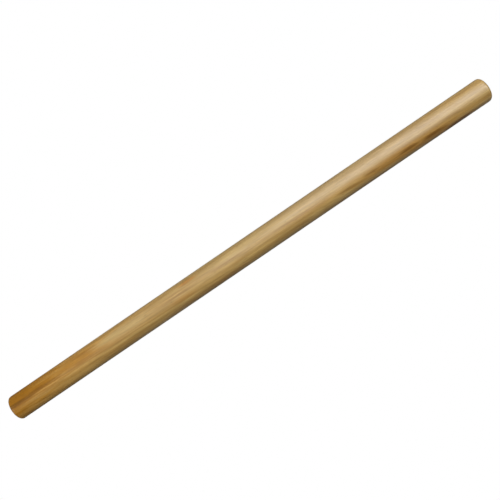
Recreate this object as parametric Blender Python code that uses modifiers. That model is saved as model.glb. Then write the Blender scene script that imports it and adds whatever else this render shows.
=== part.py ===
"""Devil stick: one straight, round length of hardwood with flat ends and rounded rims.

The stick lies along X, with its balance point at the origin. Lengths are in metres.
"""

from math import cos, pi, sin, tau

import bpy

# Driving dimensions
STICK_LENGTH = 0.600
STICK_DIAMETER = 0.0274
PLUS_RIM_RADIUS = 0.0032  # the rounding between the side and the flat +X end
MINUS_RIM_RADIUS = 0.0042  # the same at the -X end, which was sanded rounder

# Fineness of the turned surface
SIDES_ROUND = 64
RIM_STEPS = 6
SEAM_MERGE = 0.00005  # closes the seam and the middle of each flat end

# Clear satin finish over light hardwood
WOOD_COLOR = (0.50, 0.32, 0.13, 1.0)
WOOD_ROUGHNESS = 0.35


def clear_scene():
    for old in list(bpy.data.objects):
        bpy.data.objects.remove(old, do_unlink=True)


def make_wood():
    wood = bpy.data.materials.new("lacquered_hardwood")
    wood.use_nodes = True
    shader = wood.node_tree.nodes["Principled BSDF"]
    shader.inputs["Base Color"].default_value = WOOD_COLOR
    shader.inputs["Roughness"].default_value = WOOD_ROUGHNESS
    shader.inputs["Metallic"].default_value = 0.0
    wood.diffuse_color = WOOD_COLOR
    return wood


def end_profile(end, rim_radius):
    """(x, radius) points from the middle of one flat end, round its rim, to the side.

    end is +1 at the +X end and -1 at the -X end.
    """
    arc_x = end * (STICK_LENGTH / 2 - rim_radius)
    arc_radius = STICK_DIAMETER / 2 - rim_radius
    points = [(end * STICK_LENGTH / 2, 0.0)]
    for step in range(RIM_STEPS + 1):
        angle = pi / 2 * step / RIM_STEPS
        x = arc_x + end * rim_radius * cos(angle)
        points.append((x, arc_radius + rim_radius * sin(angle)))
    return points


def stick_profile():
    """Half section from the middle of the +X end, over the side, to the middle of the -X end."""
    plus_end = end_profile(1, PLUS_RIM_RADIUS)
    minus_end = end_profile(-1, MINUS_RIM_RADIUS)
    return plus_end + minus_end[::-1]


def make_stick(collection, material):
    points = [(x, radius, 0.0) for x, radius in stick_profile()]
    edges = [(i, i + 1) for i in range(len(points) - 1)]
    mesh = bpy.data.meshes.new("stick")
    mesh.from_pydata(points, edges, [])
    mesh.materials.append(material)

    stick = bpy.data.objects.new("stick", mesh)
    stick.rotation_euler.x = pi / SIDES_ROUND  # lays a facet, not an edge, on the floor
    collection.objects.link(stick)

    turning = stick.modifiers.new("turning", "SCREW")
    turning.axis = "X"
    turning.angle = tau
    turning.steps = SIDES_ROUND
    turning.render_steps = SIDES_ROUND
    turning.use_merge_vertices = True
    turning.merge_threshold = SEAM_MERGE
    turning.use_smooth_shade = True
    return stick


def main():
    clear_scene()
    parts = bpy.data.collections.new("devil_stick")
    bpy.context.scene.collection.children.link(parts)
    make_stick(parts, make_wood())


main()
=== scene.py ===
import math

import bpy
from mathutils import Matrix, Vector


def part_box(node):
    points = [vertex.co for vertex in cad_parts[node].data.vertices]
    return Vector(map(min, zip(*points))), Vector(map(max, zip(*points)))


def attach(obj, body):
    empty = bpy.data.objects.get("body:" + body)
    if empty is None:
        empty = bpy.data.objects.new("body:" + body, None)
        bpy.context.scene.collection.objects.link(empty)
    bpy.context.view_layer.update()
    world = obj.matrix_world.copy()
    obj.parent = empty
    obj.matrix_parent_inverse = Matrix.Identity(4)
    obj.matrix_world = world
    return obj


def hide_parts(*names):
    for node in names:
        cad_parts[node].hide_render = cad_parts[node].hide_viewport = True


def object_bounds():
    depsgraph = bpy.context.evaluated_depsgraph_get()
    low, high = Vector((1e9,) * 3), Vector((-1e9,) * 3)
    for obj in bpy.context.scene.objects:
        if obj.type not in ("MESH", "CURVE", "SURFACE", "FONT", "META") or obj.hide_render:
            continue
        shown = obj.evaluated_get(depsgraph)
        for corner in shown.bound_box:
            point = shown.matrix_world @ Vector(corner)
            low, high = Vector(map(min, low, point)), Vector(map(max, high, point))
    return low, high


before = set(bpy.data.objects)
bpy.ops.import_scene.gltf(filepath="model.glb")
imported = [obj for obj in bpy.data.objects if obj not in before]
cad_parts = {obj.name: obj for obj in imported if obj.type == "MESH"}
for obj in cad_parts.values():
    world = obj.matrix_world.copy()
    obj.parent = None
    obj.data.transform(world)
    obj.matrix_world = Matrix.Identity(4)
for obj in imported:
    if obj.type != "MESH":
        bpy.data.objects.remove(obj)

cadLow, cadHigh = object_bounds()
stickLow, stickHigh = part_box("stick")
stickLength = stickHigh.x - stickLow.x
stickRadius = (stickHigh.z - stickLow.z) / 2
print("frame loaded: stick", round(stickLength, 4), "m long")


# small helpers for building node trees

def addNode(tree, kind, **settings):
    node = tree.nodes.new(kind)
    for name, value in settings.items():
        setattr(node, name, value)
    return node


def feed(tree, socket, value):
    # a value is either another node's output or a plain number, colour or vector
    if isinstance(value, bpy.types.NodeSocket):
        tree.links.new(value, socket)
    else:
        socket.default_value = value


def maths(tree, operation, *values):
    node = addNode(tree, "ShaderNodeMath", operation=operation)
    for socket, value in zip(node.inputs, values):
        feed(tree, socket, value)
    return node.outputs[0]


def vectorMaths(tree, operation, *values, output="Vector"):
    node = addNode(tree, "ShaderNodeVectorMath", operation=operation)
    for socket, value in zip(node.inputs, values):
        feed(tree, socket, value)
    return node.outputs[output]


def joinXyz(tree, x, y, z):
    node = addNode(tree, "ShaderNodeCombineXYZ")
    for socket, value in zip(node.inputs, (x, y, z)):
        feed(tree, socket, value)
    return node.outputs[0]


def splitXyz(tree, vector):
    node = addNode(tree, "ShaderNodeSeparateXYZ")
    feed(tree, node.inputs[0], vector)
    return node.outputs[0], node.outputs[1], node.outputs[2]


def ramp(tree, value, low, high, toLow=0.0, toHigh=1.0):
    # goes smoothly from toLow to toHigh as the value goes from low to high
    node = addNode(tree, "ShaderNodeMapRange", interpolation_type="SMOOTHSTEP")
    for name, setting in (("Value", value), ("From Min", low), ("From Max", high),
                          ("To Min", toLow), ("To Max", toHigh)):
        feed(tree, node.inputs[name], setting)
    return node.outputs[0]


def noise(tree, vector, stretch, detail, seed):
    # stretch is cycles per unit along x, y and z
    place = vectorMaths(tree, "MULTIPLY", vector, stretch)
    node = addNode(tree, "ShaderNodeTexNoise", noise_dimensions="4D")
    feed(tree, node.inputs["Vector"], place)
    feed(tree, node.inputs["W"], seed)
    feed(tree, node.inputs["Scale"], 1.0)
    feed(tree, node.inputs["Detail"], detail)
    return node.outputs[0]


def newGroup(name, kind, inputs, outputs):
    tree = bpy.data.node_groups.new(name, kind)
    for label, socketType in inputs:
        tree.interface.new_socket(name=label, in_out="INPUT", socket_type=socketType)
    for label, socketType in outputs:
        tree.interface.new_socket(name=label, in_out="OUTPUT", socket_type=socketType)
    return tree, addNode(tree, "NodeGroupInput").outputs, addNode(tree, "NodeGroupOutput").inputs


# the stick's shape, in metres

def rimRadius(endX):
    # the rim is what the flat end leaves of the stick's radius
    flatness = 0.00001
    points = [vertex.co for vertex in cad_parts["stick"].data.vertices]
    flatEnd = [point for point in points if abs(point.x - endX) < flatness]
    return stickRadius - max(math.hypot(point.y, point.z) for point in flatEnd)


sandingDepth = 0.00003

stickShape = {
    "Length": stickLength - 2 * sandingDepth,  # leaves room for the sanding marks
    "Radius": stickRadius - sandingDepth,
    "Plus Rim": rimRadius(stickHigh.x),
    "Minus Rim": rimRadius(stickLow.x),
    "Rings": 760,  # rows of faces from end to end
    "Sides": 112,  # faces round the stick
    "Sanding Depth": sandingDepth,
    "Dents per Area": 420.0,  # in each square metre
    "Dent Size": 0.0022,
    "Dent Depth": 0.00007,
    "Seed": 7,
    # those below are built into the tree
    "crowding": 0.6,  # draws the rings together at both ends; 0 spaces them evenly
    "seamGap": 0.000005,  # points nearer than this are joined
    "sandingStretch": (9.0, 70.0, 70.0),  # hollows in a metre, along and across the stick
    "sandingDetail": 2.0,
    "smallestDent": 0.4,  # as a share of the largest
}

# where the stick lies on the unit square when it is unrolled
bakeMap = {
    "edge": 0.008,
    "rowHeight": 0.40,
    "rowGap": 0.012,
    "discRadius": 0.08,
    "discInset": 0.09,
    "discSpare": 0.001,  # in metres: the last ring of an end may stand past its rim
    "endTurn": math.pi / 2 - 0.01,  # faces turned further than this belong to the side
}


def makeEndProfile():
    # one end of the turned outline, by distance walked from the middle of the flat end:
    # inset is how far in from the end, reach how far from the axis, and turn how far round the rim
    tree, given, result = newGroup(
        "endProfile", "GeometryNodeTree",
        [("Walked", "NodeSocketFloat"), ("Rim", "NodeSocketFloat"), ("Radius", "NodeSocketFloat")],
        [("Inset", "NodeSocketFloat"), ("Reach", "NodeSocketFloat"), ("Turn", "NodeSocketFloat")])
    walked, rim = given["Walked"], given["Rim"]
    flat = maths(tree, "SUBTRACT", given["Radius"], rim)
    pastFlat = maths(tree, "MAXIMUM", maths(tree, "SUBTRACT", walked, flat), 0.0)
    turn = maths(tree, "MINIMUM", maths(tree, "DIVIDE", pastFlat, rim), math.pi / 2)
    arcInset = maths(tree, "MULTIPLY", rim, maths(tree, "SUBTRACT", 1.0, maths(tree, "COSINE", turn)))
    pastArc = maths(tree, "SUBTRACT", pastFlat, maths(tree, "MULTIPLY", rim, math.pi / 2))
    feed(tree, result["Inset"], maths(tree, "ADD", arcInset, maths(tree, "MAXIMUM", pastArc, 0.0)))
    arcReach = maths(tree, "MULTIPLY", rim, maths(tree, "SINE", turn))
    feed(tree, result["Reach"], maths(tree, "ADD", maths(tree, "MINIMUM", walked, flat), arcReach))
    feed(tree, result["Turn"], turn)
    return tree


def makeTurnedStick():
    numbers = ["Length", "Radius", "Plus Rim", "Minus Rim"]
    marks = ["Sanding Depth", "Dents per Area", "Dent Size", "Dent Depth"]
    inputs = [(name, "NodeSocketFloat") for name in numbers]
    inputs += [(name, "NodeSocketInt") for name in ("Rings", "Sides")]
    inputs += [(name, "NodeSocketFloat") for name in marks]
    inputs += [("Seed", "NodeSocketInt"), ("Material", "NodeSocketMaterial")]
    tree, given, result = newGroup("turnedStick", "GeometryNodeTree", inputs,
                                   [("Geometry", "NodeSocketGeometry")])

    sheet = addNode(tree, "GeometryNodeMeshGrid")
    feed(tree, sheet.inputs["Size X"], 1.0)
    feed(tree, sheet.inputs["Size Y"], 1.0)
    feed(tree, sheet.inputs["Vertices X"], maths(tree, "ADD", given["Rings"], 1.0))
    feed(tree, sheet.inputs["Vertices Y"], maths(tree, "ADD", given["Sides"], 1.0))

    # the sheet's x becomes the way along the outline, and its y the way round
    sheetPlace = addNode(tree, "GeometryNodeInputPosition").outputs[0]
    sheetX, sheetY, _ = splitXyz(tree, sheetPlace)
    evenShare = maths(tree, "ADD", sheetX, 0.5)
    roundShare = maths(tree, "ADD", sheetY, 0.5)
    wave = maths(tree, "SINE", maths(tree, "MULTIPLY", evenShare, math.tau))
    crowded = maths(tree, "MULTIPLY", wave, stickShape["crowding"] / math.tau)
    share = maths(tree, "SUBTRACT", evenShare, crowded)

    # rounding a corner changes the outline's length by this share of the rim's radius
    rounding = math.pi / 2 - 2
    rims = maths(tree, "ADD", given["Plus Rim"], given["Minus Rim"])
    outline = maths(tree, "ADD", given["Length"], maths(tree, "MULTIPLY", given["Radius"], 2.0))
    outline = maths(tree, "ADD", outline, maths(tree, "MULTIPLY", rims, rounding))
    walked = {"Minus": maths(tree, "MULTIPLY", outline, share)}
    walked["Plus"] = maths(tree, "SUBTRACT", outline, walked["Minus"])

    endProfile = makeEndProfile()
    profiles = {}
    for end in ("Minus", "Plus"):
        profile = addNode(tree, "GeometryNodeGroup", node_tree=endProfile)
        feed(tree, profile.inputs["Walked"], walked[end])
        feed(tree, profile.inputs["Rim"], given[end + " Rim"])
        feed(tree, profile.inputs["Radius"], given["Radius"])
        profiles[end] = profile.outputs

    def byHalf(minusValue, plusValue):
        # takes the plus value past the middle of the stick
        pick = addNode(tree, "GeometryNodeSwitch", input_type="FLOAT")
        feed(tree, pick.inputs["Switch"], maths(tree, "GREATER_THAN", share, 0.5))
        feed(tree, pick.inputs["False"], minusValue)
        feed(tree, pick.inputs["True"], plusValue)
        return pick.outputs[0]

    half = maths(tree, "MULTIPLY", given["Length"], 0.5)
    minusX = maths(tree, "SUBTRACT", profiles["Minus"]["Inset"], half)
    plusX = maths(tree, "SUBTRACT", half, profiles["Plus"]["Inset"])
    alongX = byHalf(minusX, plusX)
    reach = byHalf(profiles["Minus"]["Reach"], profiles["Plus"]["Reach"])
    turn = byHalf(profiles["Minus"]["Turn"], profiles["Plus"]["Turn"])
    toEnd = maths(tree, "MINIMUM", walked["Minus"], walked["Plus"])

    # the seam runs along the underside
    angle = maths(tree, "MULTIPLY_ADD", roundShare, -math.tau, -math.pi / 2)
    ringY = maths(tree, "MULTIPLY", reach, maths(tree, "COSINE", angle))
    ringZ = maths(tree, "MULTIPLY", reach, maths(tree, "SINE", angle))
    roundPlace = joinXyz(tree, alongX, ringY, ringZ)

    # every value that later nodes need is held while the sheet is still flat
    held = addNode(tree, "GeometryNodeCaptureAttribute", domain="POINT")
    for socketType, name, value in (("VECTOR", "place", roundPlace), ("FLOAT", "turn", turn),
                                    ("FLOAT", "toEnd", toEnd), ("FLOAT", "round", roundShare)):
        held.capture_items.new(socketType, name)
        feed(tree, held.inputs[name], value)
    feed(tree, held.inputs["Geometry"], sheet.outputs["Mesh"])

    shaped = addNode(tree, "GeometryNodeSetPosition")
    feed(tree, shaped.inputs["Geometry"], held.outputs["Geometry"])
    feed(tree, shaped.inputs["Position"], held.outputs["place"])

    def store(geometry, name, dataType, domain, value):
        node = addNode(tree, "GeometryNodeStoreNamedAttribute", data_type=dataType, domain=domain)
        feed(tree, node.inputs["Geometry"], geometry)
        feed(tree, node.inputs["Name"], name)
        feed(tree, node.inputs["Value"], value)
        return node.outputs[0]

    # endGrain is 1 on the flat ends and 0 on the side, and rimWear is 1 half way round a rim
    endGrain = maths(tree, "COSINE", held.outputs["turn"])
    rimWear = maths(tree, "SINE", maths(tree, "MULTIPLY", held.outputs["turn"], 2.0))
    solid = store(shaped.outputs[0], "endGrain", "FLOAT", "POINT", endGrain)
    solid = store(solid, "rimWear", "FLOAT", "POINT", rimWear)
    solid = store(solid, "OFBake", "FLOAT2", "CORNER", unrolled(tree, given, held.outputs))

    closed = addNode(tree, "GeometryNodeMergeByDistance")
    feed(tree, closed.inputs["Geometry"], solid)
    feed(tree, closed.inputs["Distance"], stickShape["seamGap"])

    worn = addNode(tree, "GeometryNodeSetPosition")
    feed(tree, worn.inputs["Geometry"], closed.outputs[0])
    feed(tree, worn.inputs["Offset"], handMarks(tree, given, closed.outputs[0]))

    smooth = addNode(tree, "GeometryNodeSetShadeSmooth")
    feed(tree, smooth.inputs["Geometry"], worn.outputs[0])
    real = addNode(tree, "GeometryNodeRealizeInstances")
    feed(tree, real.inputs["Geometry"], smooth.outputs[0])
    finished = addNode(tree, "GeometryNodeSetMaterial")
    feed(tree, finished.inputs["Geometry"], real.outputs[0])
    feed(tree, finished.inputs["Material"], given["Material"])
    feed(tree, result["Geometry"], finished.outputs[0])
    return tree


def unrolled(tree, given, held):
    # the side lies in two long rows, one for each half, with both ends as discs above them
    x, _, _ = splitXyz(tree, held["place"])
    side = maths(tree, "MULTIPLY", given["Length"], 0.5)
    width = 1 - 2 * bakeMap["edge"]
    rows = []
    for row, start in ((0, side), (1, 0.0)):
        shareX = maths(tree, "DIVIDE", maths(tree, "ADD", x, start), side)
        base = bakeMap["edge"] + row * (bakeMap["rowHeight"] + bakeMap["rowGap"])
        rowU = maths(tree, "MULTIPLY_ADD", shareX, width, bakeMap["edge"])
        rowV = maths(tree, "MULTIPLY_ADD", held["round"], bakeMap["rowHeight"], base)
        rows.append(joinXyz(tree, rowU, rowV, 0.0))

    angle = maths(tree, "MULTIPLY", held["round"], math.tau)
    discs = []
    for insets, rimName in ((1, "Minus Rim"), (3, "Plus Rim")):
        discWalk = maths(tree, "MULTIPLY_ADD", given[rimName], math.pi / 2 - 1, given["Radius"])
        discWalk = maths(tree, "ADD", discWalk, bakeMap["discSpare"])
        walkedShare = maths(tree, "DIVIDE", held["toEnd"], discWalk)
        size = maths(tree, "MULTIPLY", walkedShare, bakeMap["discRadius"])
        centreU = insets * bakeMap["discInset"]
        centreV = 1 - bakeMap["discInset"]
        discU = maths(tree, "MULTIPLY_ADD", maths(tree, "COSINE", angle), size, centreU)
        discV = maths(tree, "MULTIPLY_ADD", maths(tree, "SINE", angle), size, centreV)
        discs.append(joinXyz(tree, discU, discV, 0.0))

    def onFaces(value):
        node = addNode(tree, "GeometryNodeFieldOnDomain", data_type="FLOAT", domain="FACE")
        feed(tree, node.inputs[0], value)
        return node.outputs[0]

    def pick(choice, whenFalse, whenTrue):
        node = addNode(tree, "GeometryNodeSwitch", input_type="VECTOR")
        feed(tree, node.inputs["Switch"], choice)
        feed(tree, node.inputs["False"], whenFalse)
        feed(tree, node.inputs["True"], whenTrue)
        return node.outputs[0]

    plusHalf = onFaces(maths(tree, "GREATER_THAN", onFaces(x), 0.0))
    onEnd = onFaces(maths(tree, "LESS_THAN", onFaces(held["turn"]), bakeMap["endTurn"]))
    sides = pick(plusHalf, rows[0], rows[1])
    ends = pick(plusHalf, discs[0], discs[1])
    return pick(onEnd, sides, ends)


def handMarks(tree, given, geometry):
    # long shallow hollows from sanding by hand, and a few small dents from being caught
    normal = addNode(tree, "GeometryNodeInputNormal").outputs[0]
    place = addNode(tree, "GeometryNodeInputPosition").outputs[0]
    sanding = noise(tree, place, stickShape["sandingStretch"], stickShape["sandingDetail"], given["Seed"])
    sanding = maths(tree, "MULTIPLY", maths(tree, "SUBTRACT", sanding, 0.5), 2.0)
    sanding = maths(tree, "MULTIPLY", sanding, given["Sanding Depth"])

    scattered = addNode(tree, "GeometryNodeDistributePointsOnFaces", distribute_method="RANDOM")
    feed(tree, scattered.inputs["Mesh"], geometry)
    feed(tree, scattered.inputs["Density"], given["Dents per Area"])
    feed(tree, scattered.inputs["Seed"], given["Seed"])

    nearest = addNode(tree, "GeometryNodeSampleNearest", domain="POINT")
    feed(tree, nearest.inputs["Geometry"], scattered.outputs["Points"])

    def atNearest(dataType, value):
        node = addNode(tree, "GeometryNodeSampleIndex", data_type=dataType, domain="POINT")
        feed(tree, node.inputs["Geometry"], scattered.outputs["Points"])
        feed(tree, node.inputs["Value"], value)
        feed(tree, node.inputs["Index"], nearest.outputs[0])
        return node.outputs[0]

    size = addNode(tree, "FunctionNodeRandomValue", data_type="FLOAT")
    for name, setting in (("Min", stickShape["smallestDent"]), ("Max", 1.0), ("Seed", given["Seed"])):
        feed(tree, [s for s in size.inputs if s.name == name and s.enabled][0], setting)
    relativeSize = atNearest("FLOAT", [s for s in size.outputs if s.enabled][0])
    centre = atNearest("FLOAT_VECTOR", place)
    radius = maths(tree, "MULTIPLY", relativeSize, given["Dent Size"])
    distance = vectorMaths(tree, "DISTANCE", place, centre, output="Value")
    hollow = ramp(tree, maths(tree, "DIVIDE", distance, radius), 1.0, 0.0)
    depth = maths(tree, "MULTIPLY", hollow, maths(tree, "MULTIPLY", relativeSize, given["Dent Depth"]))
    offset = addNode(tree, "ShaderNodeVectorMath", operation="SCALE")
    feed(tree, offset.inputs["Vector"], normal)
    feed(tree, offset.inputs["Scale"], maths(tree, "SUBTRACT", sanding, depth))
    return offset.outputs["Vector"]


def makePiece(name, tree, values):
    maker = bpy.data.objects.new(name + "Maker", bpy.data.meshes.new(name + "Maker"))
    bpy.context.scene.collection.objects.link(maker)
    modifier = maker.modifiers.new("shape", "NODES")
    modifier.node_group = tree
    for item in tree.interface.items_tree:
        if item.item_type == "SOCKET" and item.in_out == "INPUT":
            modifier[item.identifier] = values[item.name]
    graph = bpy.context.evaluated_depsgraph_get()
    mesh = bpy.data.meshes.new_from_object(
        maker.evaluated_get(graph), preserve_all_data_layers=True, depsgraph=graph)
    bpy.data.objects.remove(maker)
    mesh.name = name
    piece = bpy.data.objects.new(name, mesh)
    bpy.context.scene.collection.objects.link(piece)
    return piece


# the wood and its lacquer, in millimetres

mmPerMetre = 1000.0

wood = {
    "early": (0.545, 0.365, 0.118),  # pale wood grown in spring
    "late": (0.40, 0.220, 0.052),  # darker line that ends each year
    "warm": (0.60, 0.335, 0.080),  # browner wood, mostly towards the plus end
    "amber": (0.395, 0.170, 0.012),
    "stain": (0.235, 0.098, 0.004),
    "rosy": (0.50, 0.23, 0.035),
    "pale": (0.58, 0.40, 0.15),
    # painted highlight: a paler, whiter colour that stands in for the lamps' sheen along the lit top of the
    # minus half
    "paintedSheen": (0.525, 0.362, 0.168),
    "pore": (0.20, 0.105, 0.035),
    # the next four tint the wood that they lie on
    "darkPatch": (0.90, 0.87, 0.82),
    "palePatch": (1.08, 1.10, 1.15),
    "endWood": (0.76, 0.70, 0.62),  # cut ends drink in more finish, so they are darker
    "endLine": (0.42, 0.34, 0.26),
    "drift": 0.031,  # sideways run of the grain, per unit of length
    "wander": 4.0,  # how far the grain sways from side to side
    "pith": (-46.0, -58.0),  # where the tree's middle was, across the stick
    "yearWidth": 2.8,
    "warp": 22.0,  # how far the rings are bent out of round, slowly and then finely
    "ripple": 0.6,
    "faintestYear": 0.25,  # a year's late wood shows by this much or more, at random
    "ragged": 1.4,  # how uneven the edges of the colour marks are
    "markDepth": 1.5,  # how deep those marks go, for each unit of half width
}

# layers of figure: cycles in a millimetre along x, y and z, then fineness and seed
figure = {
    "wander": {"stretch": (0.006, 0.02, 0.02), "detail": 1.0, "seed": 3.0},
    "warp": {"stretch": (0.0045, 0.03, 0.03), "detail": 0.6, "seed": 5.0},
    "ripple": {"stretch": (0.02, 0.16, 0.16), "detail": 2.0, "seed": 8.0},
    "cloud": {"stretch": (0.0055, 0.06, 0.06), "detail": 2.0, "seed": 11.0},
    "rays": {"stretch": (210.0, 0.15, 0.0), "detail": 2.0, "seed": 13.0},  # round the pith, then away from it
    "streaks": {"stretch": (0.0075, 0.28, 0.28), "detail": 3.0, "seed": 17.0},
    "patches": {"stretch": (0.03, 0.30, 0.30), "detail": 4.0, "seed": 19.0},
    "fibres": {"stretch": (0.03, 2.3, 2.3), "detail": 5.0, "seed": 23.0},
    "pores": {"stretch": (0.20, 3.6, 3.6), "detail": 1.0, "seed": 29.0},
    "ragged": {"stretch": (0.045, 0.9, 0.9), "detail": 3.0, "seed": 31.0},
    "scuffs": {"stretch": (0.8, 0.8, 0.8), "detail": 4.0, "seed": 37.0},
    "handling": {"stretch": (0.02, 0.09, 0.09), "detail": 3.0, "seed": 41.0},
    "sawMarks": {"stretch": (0.0, 0.12, 2.2), "detail": 2.0, "seed": 43.0},
}

# where each slope starts and ends, and what it gives there if not 0 and 1
slopes = {
    "endGrain": (0.55, 0.98),
    "lateRise": (0.35, 0.93),
    "lateDrop": (1.0, 0.94),
    "earlyWood": (0.55, 0.0),
    "markEdge": (1.25, 0.35),
    "towardsPlus": (20.0, 300.0),
    "warmth": (0.0, 1.0),
    "streaks": (0.40, 0.70, 0.0, 0.85),
    "patches": (0.28, 0.72),
    "fibres": (0.30, 0.70, 0.84, 1.12),
    "pores": (0.64, 0.70),
    "rays": (0.35, 0.65, 0.92, 1.09),
    "scuffs": (0.50, 0.70),
    "rimWear": (0.15, 0.95),
    "roughness": (0.30, 0.70, 0.36, 0.48),
    "lacquer": (0.25, 0.75, 1.0, 0.8),
    "plusLacquer": (100.0, 280.0, 1.0, 0.05),  # the lacquer thins towards the plus end
}

# how much each layer counts in the colour, the dullness, the lacquer and the relief
strengths = {
    "lateOnSide": 0.45,
    "lateOnEnds": 0.35,  # added on the cut ends
    "plusWarmth": 0.6,
    "cloudWarmth": 0.9,
    "warmthOffset": -0.30,
    "endFade": 0.8,  # how far streaks and patches fade on the cut ends
    "poresOverall": 0.25,
    "poresInEarly": 0.6,
    "endLines": 0.75,
    "wornColour": 0.3,
    "fibreRoughness": 0.06,
    "endDullness": 0.55,
    "wornDullness": 0.8,
    "dullRoughness": 0.22,
    "poreLacquer": -0.5,
    "fibreRelief": 0.5,
    "lateRelief": 0.35,
    "sawRelief": 1.6,
}

finish = {
    "Coat Roughness": 0.40,
    "Coat IOR": 1.85,
    "IOR": 1.5,
    "Specular IOR Level": 0.2,
}

relief = {
    "Strength": 0.6,
    "Distance": 0.00004,  # in metres
}

# marks of colour in the wood, and one band of painted highlight: middle along the stick, angle from the top
# towards +Y, half length and half width
marksAndPaintedSheen = {
    "paintedSheen": [
        # painted highlight: a paler band along the lit top of the minus half, where the sheen falls
        {"x": -160, "angle": -29, "long": 170, "wide": 8.5, "strength": 0.65},
    ],
    "warm": [
        {"x": -170, "angle": 25, "long": 140, "wide": 5.5, "strength": 0.4},
    ],
    "amber": [
        {"x": 320, "angle": -50, "long": 105, "wide": 26.0, "strength": 1.0},
        {"x": 212, "angle": -25, "long": 45, "wide": 8.0, "strength": 0.7},
        {"x": -200, "angle": 36, "long": 75, "wide": 5.0, "strength": 0.6},
        {"x": -245, "angle": 62, "long": 40, "wide": 4.0, "strength": 0.6},
    ],
    "stain": [
        {"x": 296, "angle": -13, "long": 36, "wide": 3.0, "strength": 1.0},
        {"x": 262, "angle": -15, "long": 30, "wide": 1.9, "strength": 0.75},
        {"x": 290, "angle": -42, "long": 42, "wide": 6.0, "strength": 0.18},
        {"x": 85, "angle": 17, "long": 18, "wide": 2.6, "strength": 0.35},
        {"x": 94, "angle": 6, "long": 46, "wide": 2.4, "strength": 0.25},
        {"x": -61, "angle": 38, "long": 14, "wide": 2.0, "strength": 0.35},
        {"x": -122, "angle": 25, "long": 18, "wide": 1.9, "strength": 0.55},
        {"x": -149, "angle": 21, "long": 10, "wide": 1.7, "strength": 0.55},
        {"x": -195, "angle": 29, "long": 15, "wide": 2.0, "strength": 0.9},
        {"x": -226, "angle": 37, "long": 17, "wide": 2.2, "strength": 0.9},
        {"x": -258, "angle": 63, "long": 18, "wide": 3.0, "strength": 1.0},
        {"x": -250, "angle": 11, "long": 14, "wide": 1.7, "strength": 0.3},
    ],
    "rosy": [
        {"x": 73, "angle": -42, "long": 12, "wide": 2.6, "strength": 0.9},
        {"x": 84, "angle": 12, "long": 16, "wide": 2.8, "strength": 0.35},
    ],
    "pale": [
        {"x": 266, "angle": 12, "long": 28, "wide": 2.4, "strength": 0.2},
        {"x": 155, "angle": -23, "long": 42, "wide": 4.8, "strength": 0.85},
    ],
}


def makeSoftStreak():
    # a soft-ended streak, longer than it is wide, that holds a mark of other wood and also the band of
    # painted highlight
    tree, given, result = newGroup(
        "softStreak", "ShaderNodeTree",
        [("Place", "NodeSocketVector"), ("Middle", "NodeSocketVector"),
         ("Half Size", "NodeSocketVector"), ("Strength", "NodeSocketFloat")],
        [("Mask", "NodeSocketFloat")])
    away = vectorMaths(tree, "SUBTRACT", given["Place"], given["Middle"])
    away = vectorMaths(tree, "DIVIDE", away, given["Half Size"])
    distance = vectorMaths(tree, "LENGTH", away, output="Value")
    ragged = noise(tree, given["Place"], **figure["ragged"])
    unevenness = maths(tree, "MULTIPLY_ADD", ragged, wood["ragged"], -wood["ragged"] / 2)
    distance = maths(tree, "ADD", distance, unevenness)
    mask = ramp(tree, distance, *slopes["markEdge"])
    feed(tree, result["Mask"], maths(tree, "MULTIPLY", mask, given["Strength"]))
    return tree


def makeYearRings():
    # late wood rises slowly from 0 to 1 and drops sharply at the end of each year,
    # and rays are fine lines that run out from the pith
    tree, given, result = newGroup(
        "yearRings", "ShaderNodeTree",
        [("Place", "NodeSocketVector"), ("Year Width", "NodeSocketFloat")],
        [("Late Wood", "NodeSocketFloat"), ("Early Wood", "NodeSocketFloat"), ("Rays", "NodeSocketFloat")])
    _, y, z = splitXyz(tree, given["Place"])
    acrossPith = maths(tree, "SUBTRACT", y, wood["pith"][0])
    abovePith = maths(tree, "SUBTRACT", z, wood["pith"][1])
    fromPith = joinXyz(tree, 0.0, acrossPith, abovePith)
    radius = vectorMaths(tree, "LENGTH", fromPith, output="Value")
    for unevenness in ("warp", "ripple"):
        bend = noise(tree, given["Place"], **figure[unevenness])
        radius = maths(tree, "ADD", radius, maths(tree, "MULTIPLY", bend, wood[unevenness]))
    years = maths(tree, "DIVIDE", radius, given["Year Width"])
    season = maths(tree, "FRACT", years)
    rise = ramp(tree, season, *slopes["lateRise"])
    drop = ramp(tree, season, *slopes["lateDrop"])
    yearLuck = addNode(tree, "ShaderNodeTexWhiteNoise", noise_dimensions="1D")
    feed(tree, yearLuck.inputs["W"], maths(tree, "FLOOR", years))
    faintest = wood["faintestYear"]
    luck = maths(tree, "MULTIPLY_ADD", yearLuck.outputs["Value"], 1 - faintest, faintest)
    late = maths(tree, "MULTIPLY", maths(tree, "MULTIPLY", rise, drop), luck)
    feed(tree, result["Late Wood"], late)
    feed(tree, result["Early Wood"], ramp(tree, season, *slopes["earlyWood"]))
    spoke = maths(tree, "ARCTAN2", acrossPith, abovePith)
    rays = noise(tree, joinXyz(tree, spoke, radius, 0.0), **figure["rays"])
    feed(tree, result["Rays"], rays)
    return tree


def mixColour(tree, factor, first, second, blend="MIX"):
    node = addNode(tree, "ShaderNodeMix", data_type="RGBA", blend_type=blend)
    feed(tree, node.inputs[0], factor)
    for socket, colour in ((node.inputs[6], first), (node.inputs[7], second)):
        feed(tree, socket, (*colour, 1.0) if isinstance(colour, tuple) else colour)
    return node.outputs[2]


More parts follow.
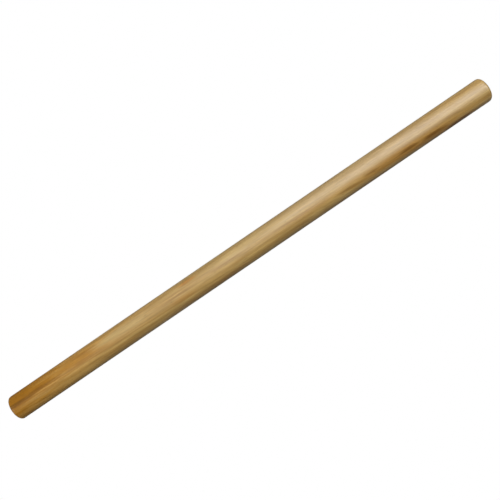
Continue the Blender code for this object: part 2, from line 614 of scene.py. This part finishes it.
def addMarksAndPaintedSheen(tree, x, y, z, colour):
    softStreak = makeSoftStreak()
    radius = mmPerMetre * stickRadius
    place = joinXyz(tree, x, maths(tree, "MULTIPLY_ADD", x, wood["drift"], y), z)
    for tint, marks in marksAndPaintedSheen.items():
        total = None
        for mark in marks:
            angle = math.radians(mark["angle"])
            middleY = radius * math.sin(angle) + wood["drift"] * mark["x"]
            node = addNode(tree, "ShaderNodeGroup", node_tree=softStreak)
            feed(tree, node.inputs["Place"], place)
            feed(tree, node.inputs["Middle"], (mark["x"], middleY, radius * math.cos(angle)))
            halfSize = (mark["long"], mark["wide"], mark["wide"] * wood["markDepth"])
            feed(tree, node.inputs["Half Size"], halfSize)
            feed(tree, node.inputs["Strength"], mark["strength"])
            mask = node.outputs["Mask"]
            total = mask if total is None else maths(tree, "MAXIMUM", total, mask)
        colour = mixColour(tree, total, colour, wood[tint])
    return colour


def makeLacqueredHardwood():
    material = bpy.data.materials.new("lacqueredHardwood")
    material.use_nodes = True
    tree = material.node_tree
    tree.nodes.clear()
    shader = addNode(tree, "ShaderNodeBsdfPrincipled")
    output = addNode(tree, "ShaderNodeOutputMaterial")
    tree.links.new(shader.outputs[0], output.inputs["Surface"])

    coordinates = addNode(tree, "ShaderNodeTexCoord").outputs["Object"]
    place = vectorMaths(tree, "MULTIPLY", coordinates, (mmPerMetre, mmPerMetre, mmPerMetre))
    x, y, z = splitXyz(tree, place)
    wander = noise(tree, place, **figure["wander"])
    sideways = maths(tree, "MULTIPLY_ADD", wander, wood["wander"], -wood["wander"] / 2)
    grainY = maths(tree, "ADD", maths(tree, "MULTIPLY_ADD", x, wood["drift"], y), sideways)
    grain = joinXyz(tree, x, grainY, z)

    def held(name):
        return addNode(tree, "ShaderNodeAttribute", attribute_name=name).outputs["Fac"]

    endGrain = ramp(tree, held("endGrain"), *slopes["endGrain"])
    sideGrain = maths(tree, "MULTIPLY_ADD", endGrain, -strengths["endFade"], 1.0)

    # colour, from the widest variation to the finest
    rings = addNode(tree, "ShaderNodeGroup", node_tree=makeYearRings())
    feed(tree, rings.inputs["Place"], grain)
    feed(tree, rings.inputs["Year Width"], wood["yearWidth"])
    lateWood = rings.outputs["Late Wood"]
    lateDepth = maths(tree, "MULTIPLY_ADD", endGrain, strengths["lateOnEnds"], strengths["lateOnSide"])
    colour = mixColour(tree, maths(tree, "MULTIPLY", lateWood, lateDepth), wood["early"], wood["late"])

    cloud = noise(tree, grain, **figure["cloud"])
    towardsPlus = ramp(tree, x, *slopes["towardsPlus"])
    plusWarmth = maths(tree, "MULTIPLY", towardsPlus, strengths["plusWarmth"])
    cloudWarmth = maths(tree, "MULTIPLY_ADD", cloud, strengths["cloudWarmth"], strengths["warmthOffset"])
    warmth = ramp(tree, maths(tree, "ADD", plusWarmth, cloudWarmth), *slopes["warmth"])
    colour = mixColour(tree, warmth, colour, wood["warm"])

    streaks = ramp(tree, noise(tree, grain, **figure["streaks"]), *slopes["streaks"])
    colour = mixColour(tree, maths(tree, "MULTIPLY", streaks, sideGrain), colour, wood["late"])
    colour = addMarksAndPaintedSheen(tree, x, y, z, colour)

    patches = ramp(tree, noise(tree, grain, **figure["patches"]), *slopes["patches"])
    patchTint = mixColour(tree, patches, wood["darkPatch"], wood["palePatch"])
    colour = mixColour(tree, sideGrain, colour, patchTint, "MULTIPLY")

    fibres = noise(tree, grain, **figure["fibres"])
    colour = mixColour(tree, 1.0, colour, ramp(tree, fibres, *slopes["fibres"]), "MULTIPLY")

    # pores are thickest in early wood
    pores = ramp(tree, noise(tree, grain, **figure["pores"]), *slopes["pores"])
    poreShare = maths(tree, "MULTIPLY_ADD", rings.outputs["Early Wood"],
                      strengths["poresInEarly"], strengths["poresOverall"])
    pores = maths(tree, "MULTIPLY", pores, poreShare)
    colour = mixColour(tree, pores, colour, wood["pore"])

    endLines = maths(tree, "MULTIPLY", lateWood, maths(tree, "MULTIPLY", endGrain, strengths["endLines"]))
    colour = mixColour(tree, endLines, colour, wood["endLine"], "MULTIPLY")
    rays = ramp(tree, rings.outputs["Rays"], *slopes["rays"])
    colour = mixColour(tree, endGrain, colour, rays, "MULTIPLY")
    colour = mixColour(tree, endGrain, colour, wood["endWood"], "MULTIPLY")

    scuffs = ramp(tree, noise(tree, place, **figure["scuffs"]), *slopes["scuffs"])
    worn = maths(tree, "MULTIPLY", ramp(tree, held("rimWear"), *slopes["rimWear"]), scuffs)
    colour = mixColour(tree, maths(tree, "MULTIPLY", worn, strengths["wornColour"]), colour, wood["pale"])
    feed(tree, shader.inputs["Base Color"], colour)

    # finish: duller on the cut ends and the worn rims
    handling = noise(tree, place, **figure["handling"])
    dullEnds = maths(tree, "MULTIPLY", endGrain, strengths["endDullness"])
    dullRims = maths(tree, "MULTIPLY", worn, strengths["wornDullness"])
    dull = maths(tree, "MAXIMUM", dullEnds, dullRims)
    roughness = ramp(tree, handling, *slopes["roughness"])
    for layer, strength in ((fibres, "fibreRoughness"), (dull, "dullRoughness")):
        roughness = maths(tree, "ADD", roughness, maths(tree, "MULTIPLY", layer, strengths[strength]))
    feed(tree, shader.inputs["Roughness"], roughness)

    lacquer = ramp(tree, handling, *slopes["lacquer"])
    lacquer = maths(tree, "MULTIPLY", lacquer, maths(tree, "SUBTRACT", 1.0, dull))
    overPores = maths(tree, "MULTIPLY_ADD", pores, strengths["poreLacquer"], 1.0)
    lacquer = maths(tree, "MULTIPLY", lacquer, overPores)
    lacquer = maths(tree, "MULTIPLY", lacquer, ramp(tree, x, *slopes["plusLacquer"]))
    feed(tree, shader.inputs["Coat Weight"], lacquer)
    for name, value in finish.items():
        shader.inputs[name].default_value = value

    # relief: open pores, raised fibres and late wood, and saw marks on the ends
    height = maths(tree, "MULTIPLY", fibres, strengths["fibreRelief"])
    height = maths(tree, "SUBTRACT", height, pores)
    height = maths(tree, "ADD", height, maths(tree, "MULTIPLY", lateWood, strengths["lateRelief"]))
    sawMarks = noise(tree, place, **figure["sawMarks"])
    sawDepth = maths(tree, "MULTIPLY", endGrain, strengths["sawRelief"])
    height = maths(tree, "ADD", height, maths(tree, "MULTIPLY", sawMarks, sawDepth))
    bump = addNode(tree, "ShaderNodeBump")
    for name, value in relief.items():
        bump.inputs[name].default_value = value
    feed(tree, bump.inputs["Height"], height)
    feed(tree, shader.inputs["Normal"], bump.outputs[0])
    return material


lacqueredHardwood = makeLacqueredHardwood()
print("wood and lacquer made")

turnedStick = makePiece("turnedStick", makeTurnedStick(), {**stickShape, "Material": lacqueredHardwood})
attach(turnedStick, "root")
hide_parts("stick")
print("stick turned:", len(turnedStick.data.polygons), "faces")


# floor, world, lights and camera

studio = {
    "floorSize": 30.0,
    "floorBounce": 0.16,  # how much light the floor throws back at the stick
    "contactReach": 0.05,  # how far the soft shadow under the stick is felt
    "contactShade": 0.35,  # the floor's brightness where that shadow is deepest
    "contactEdge": 0.5,  # share of open sky from which the floor is plain white
    "contactSamples": 16,
    "surround": 0.05,
    "aim": 0.2,  # how far along the stick a softbox looks, as a share of its own place
}

# away is from the stick's axis, and angle from straight up towards -Y, or negative towards +Y
softboxes = {
    "keyLight": {"x": -0.5, "angle": 26, "away": 1.3, "size": (1.2, 0.7), "power": 5.5},
    "lowKeyLight": {"x": -0.4, "angle": 46, "away": 1.3, "size": (1.2, 0.7), "power": 3.6},
    "highLight": {"x": -0.5, "angle": -3, "away": 1.3, "size": (1.2, 0.7), "power": 2.8},
    "sideLight": {"x": 0.0, "angle": 75, "away": 1.55, "size": (1.6, 0.6), "power": 2.1},
    "plusTopLight": {"x": 1.7, "angle": 8, "away": 1.3, "size": (0.9, 0.9), "power": 22.5},
    "minusTopLight": {"x": -1.6, "angle": 6, "away": 1.24, "size": (0.9, 0.9), "power": 12.0},
}

cameraPlace = {
    "distance": 0.72,
    "lens": 49.1,
    "turn": math.radians(34.27),
    "lean": math.radians(0.8),  # brings the -X end a little nearer
    "sideways": 0.00097,
    "down": 0.00047,
    "nearest": 0.01,  # nothing closer than this is drawn
}


def showDifferentlyToCamera(tree, seen, unseen):
    # what the camera sees and what lights the stick are set apart
    mix = addNode(tree, "ShaderNodeMixShader")
    feed(tree, mix.inputs[0], addNode(tree, "ShaderNodeLightPath").outputs["Is Camera Ray"])
    tree.links.new(unseen, mix.inputs[1])
    tree.links.new(seen, mix.inputs[2])
    return mix.outputs[0]


def makeFloor():
    half = studio["floorSize"] / 2
    corners = [(-half, -half), (half, -half), (half, half), (-half, half)]
    mesh = bpy.data.meshes.new("floor")
    mesh.from_pydata([(x, y, cadLow.z) for x, y in corners], [], [(0, 1, 2, 3)])
    floor = bpy.data.objects.new("floor", mesh)
    bpy.context.scene.collection.objects.link(floor)
    paper = bpy.data.materials.new("whitePaper")
    paper.use_nodes = True
    tree = paper.node_tree
    tree.nodes.clear()
    # painted shadow: the floor's glow is dimmed by ambient occlusion where the stick hides the open sky, so
    # the soft shadow under the stick is painted, not cast
    openSky = addNode(tree, "ShaderNodeAmbientOcclusion", samples=studio["contactSamples"])
    feed(tree, openSky.inputs["Distance"], studio["contactReach"])
    shade = ramp(tree, openSky.outputs["AO"], 0.0, studio["contactEdge"], studio["contactShade"], 1.0)
    white = addNode(tree, "ShaderNodeEmission")
    feed(tree, white.inputs["Strength"], shade)
    grey = addNode(tree, "ShaderNodeBsdfDiffuse")
    feed(tree, grey.inputs["Color"], (studio["floorBounce"],) * 3 + (1.0,))
    surface = showDifferentlyToCamera(tree, white.outputs[0], grey.outputs[0])
    output = addNode(tree, "ShaderNodeOutputMaterial")
    tree.links.new(surface, output.inputs["Surface"])
    mesh.materials.append(paper)


def makeWorld():
    world = bpy.data.worlds.new("studio")
    world.use_nodes = True
    bpy.context.scene.world = world
    tree = world.node_tree
    tree.nodes.clear()
    backdrop = addNode(tree, "ShaderNodeBackground")
    surround = addNode(tree, "ShaderNodeBackground")
    for background, strength in ((backdrop, 1.0), (surround, studio["surround"])):
        feed(tree, background.inputs["Color"], (1.0, 1.0, 1.0, 1.0))
        feed(tree, background.inputs["Strength"], strength)
    surface = showDifferentlyToCamera(tree, backdrop.outputs[0], surround.outputs[0])
    output = addNode(tree, "ShaderNodeOutputWorld")
    tree.links.new(surface, output.inputs["Surface"])


def placed(place, right, upwards, back):
    # where a lamp or camera stands, and which way its sides face
    return Matrix.Translation(place) @ Matrix((right, upwards, back)).transposed().to_4x4()


def makeSoftbox(name, box):
    light = bpy.data.lights.new(name, "AREA")
    light.shape = "RECTANGLE"
    light.size, light.size_y = box["size"]
    light.energy = box["power"]
    angle = math.radians(box["angle"])
    place = Vector((box["x"], -box["away"] * math.sin(angle), box["away"] * math.cos(angle)))
    back = (place - Vector((box["x"] * studio["aim"], 0.0, 0.0))).normalized()
    across = (Vector((1.0, 0.0, 0.0)) - back * back.x).normalized()
    softbox = bpy.data.objects.new(name, light)
    softbox.matrix_world = placed(place, across, back.cross(across), back)
    softbox.visible_camera = False
    bpy.context.scene.collection.objects.link(softbox)


def makeCamera():
    # straight above the stick, turned so that it runs up to the right with its -X end there
    lean, turn = cameraPlace["lean"], cameraPlace["turn"]
    back = Vector((-math.sin(lean), 0.0, math.cos(lean)))
    alongStick = Vector((-math.cos(lean), 0.0, -math.sin(lean)))
    acrossStick = back.cross(alongStick)
    right = math.cos(turn) * alongStick - math.sin(turn) * acrossStick
    upwards = math.sin(turn) * alongStick + math.cos(turn) * acrossStick
    place = back * cameraPlace["distance"]
    place = place + right * cameraPlace["sideways"] - upwards * cameraPlace["down"]
    camera = bpy.data.objects.new("camera", bpy.data.cameras.new("camera"))
    camera.data.lens = cameraPlace["lens"]
    camera.data.clip_start = cameraPlace["nearest"]
    camera.matrix_world = placed(place, right, upwards, back)
    bpy.context.scene.collection.objects.link(camera)
    bpy.context.scene.camera = camera


makeFloor()
makeWorld()
for name, box in softboxes.items():
    makeSoftbox(name, box)
makeCamera()
bpy.context.scene.view_settings.view_transform = "Standard"
print("floor, lights and camera placed")
